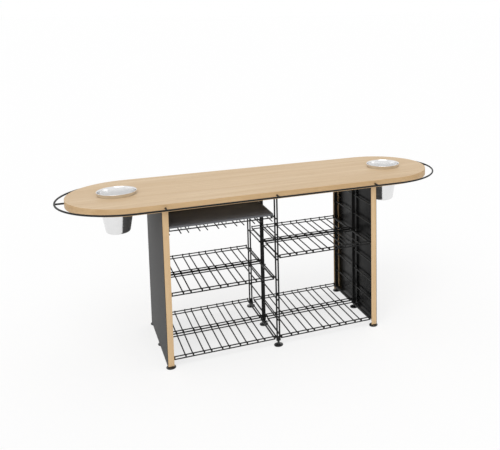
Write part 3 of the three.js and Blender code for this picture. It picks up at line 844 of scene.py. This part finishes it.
def makeTray():
    # a folded profile, lip down at the front and up at the rear, carried across the bay
    bay, edge, z = counter["bay"] * mm, shelf["edge"] * mm, rungHeight(rack["rung"])
    sheet, left = tray["sheet"] * mm, tray["side"] * mm
    low = (rack["deckHeight"] + shelf["side"] + tray["gap"]) * mm
    high = low + sheet
    bottom, peak = low - tray["frontLip"] * mm, high + tray["rearLip"] * mm
    front = -(rack["overhang"] + tray["gap"]) * mm
    back = (shelf["depth"] + shelf["side"] + tray["gap"]) * mm
    corners = [(front - sheet, high), (front - sheet, bottom), (front, bottom), (front, low), (back, low),
               (back, peak), (back - sheet, peak), (back - sheet, high)]
    shape = extruded(roundedOutline(corners, tray["edge"] * mm), left, bay - left, tray["ease"] * mm,
                     (yAxis, zAxis, xAxis))
    makePiece("foldedTray", shifted([shape], -bay, -edge, z), "trayBlack", "tray", ["tray"])


makeRack()
makeTray()
print("glass rack and tray made")

# screws that hold the top: pan heads with a round socket, under the frames' top bars
screw = {"head": 5.0, "headHeight": 3.0, "headEdge": 1.7, "shank": 2.5, "bite": 26, "point": 5, "y": 150,
         "socket": ((0, 1.4), (1.7, 1.4), (1.9, 0.1), (3.2, 0), (4.3, 0.6)), "sides": 24}


def makeScrews():
    # socket and rounded head from below, then the shank up to its point
    seat = topBottom - ladder["bar"]
    low = seat - screw["headHeight"]
    head, shank, tip = screw["head"], screw["shank"], topBottom + screw["bite"]
    socket = np.array([0, low]) + screw["socket"]
    body = [[head, low + screw["headEdge"]], [head, seat], [shank, seat], [shank, tip - screw["point"]],
            [0, tip]]
    profile = np.vstack([socket, body]) * mm
    for name, x in framePlaces.items():
        for row, y in (("front", -screw["y"] * mm), ("rear", screw["y"] * mm)):
            key = name + "_" + row
            shape = turned(profile, screw["sides"], (x, y, 0))
            makePiece("topScrew_" + key, [shape], "zincSteel", bodyRoot, ["top_screw_" + key])


makeScrews()
print("screws made")

# pale floor, soft light and the photograph's camera
stage = {"floor": (252, 252, 252), "floorRoughness": 0.9, "floorDrop": 0.5, "whiteShare": 0.72,
         "size": 400.0, "ambient": 0.72, "sun": 1.15, "sunSoft": 50, "from": (-0.35, -0.75, 1.0)}


def seenDirectly(tree):
    # 1 where the camera sees it, also in metal or through glass, and 0 for the light that it gives
    path = addNode(tree, "ShaderNodeLightPath")
    seen = maths(tree, "MAXIMUM", path.outputs["Is Camera Ray"], path.outputs["Is Glossy Ray"])
    return maths(tree, "MAXIMUM", seen, path.outputs["Is Transmission Ray"])


def makeFloor():
    half = stage["size"] / 2
    corners = [(-half, -half, 0), (half, -half, 0), (half, half, 0), (-half, half, 0)]
    mesh = bpy.data.meshes.new("paleFloor")
    mesh.from_pydata(corners, [], [[0, 1, 2, 3]])
    floor = bpy.data.objects.new("paleFloor", mesh)
    floor.location.z = -stage["floorDrop"] * mm
    bpy.context.scene.collection.objects.link(floor)
    material, tree, shader = startMaterial("floorWhite")
    shader.inputs["Base Color"].default_value = toLinear(*stage["floor"])
    shader.inputs["Roughness"].default_value = stage["floorRoughness"]
    # the floor is seen part white, so that it meets the white background and keeps a faint shadow
    white = addNode(tree, "ShaderNodeEmission")
    blend = addNode(tree, "ShaderNodeMixShader")
    tree.links.new(maths(tree, "MULTIPLY", seenDirectly(tree), stage["whiteShare"]), blend.inputs[0])
    tree.links.new(shader.outputs["BSDF"], blend.inputs[1])
    tree.links.new(white.outputs["Emission"], blend.inputs[2])
    tree.links.new(blend.outputs["Shader"], tree.nodes["Material Output"].inputs["Surface"])
    mesh.materials.append(material)


def makeLight():
    # an even white world that is dimmer as a light than it looks, and one broad sun
    world = bpy.data.worlds.new("studio")
    bpy.context.scene.world = world
    world.use_nodes = True
    tree = world.node_tree
    back = tree.nodes["Background"]
    level = addNode(tree, "ShaderNodeMix", data_type="FLOAT")
    tree.links.new(seenDirectly(tree), level.inputs[0])
    level.inputs[2].default_value = stage["ambient"]
    level.inputs[3].default_value = 1.0
    back.inputs["Color"].default_value = (1, 1, 1, 1)
    tree.links.new(level.outputs[0], back.inputs["Strength"])
    lamp = bpy.data.lights.new("softSun", "SUN")
    lamp.energy = stage["sun"]
    lamp.angle = math.radians(stage["sunSoft"])
    light = bpy.data.objects.new("softSun", lamp)
    light.rotation_euler = (-Vector(stage["from"])).to_track_quat("-Z", "Y").to_euler()
    bpy.context.scene.collection.objects.link(light)


def makeCamera():
    # the picture's middle less the view's own middle, in picture widths, is the lens's shift
    lens = bpy.data.cameras.new("photoLens")
    width, height = camera["picture"]
    lens.sensor_width = camera["sensor"]
    lens.lens = camera["focal"] / width * lens.sensor_width
    lens.shift_x = (width / 2 - camera["centre"][0]) / width
    lens.shift_y = (camera["centre"][1] - height / 2) / width
    lens.clip_end = camera["reach"]
    view = bpy.data.objects.new("photoCamera", lens)
    turn, tilt, roll = (math.radians(camera[key]) for key in ("azimuth", "elevation", "roll"))
    forward = Vector((-math.sin(turn) * math.cos(tilt), math.cos(turn) * math.cos(tilt), -math.sin(tilt)))
    facing = forward.to_track_quat("-Z", "Y").to_matrix().to_4x4() @ Matrix.Rotation(roll, 4, "Z")
    view.matrix_world = Matrix.Translation(camera["place"]) @ facing
    bpy.context.scene.collection.objects.link(view)
    bpy.context.scene.camera = view


makeFloor()
makeLight()
makeCamera()
bpy.context.scene.view_settings.view_transform = "Standard"
print("stage and camera made")
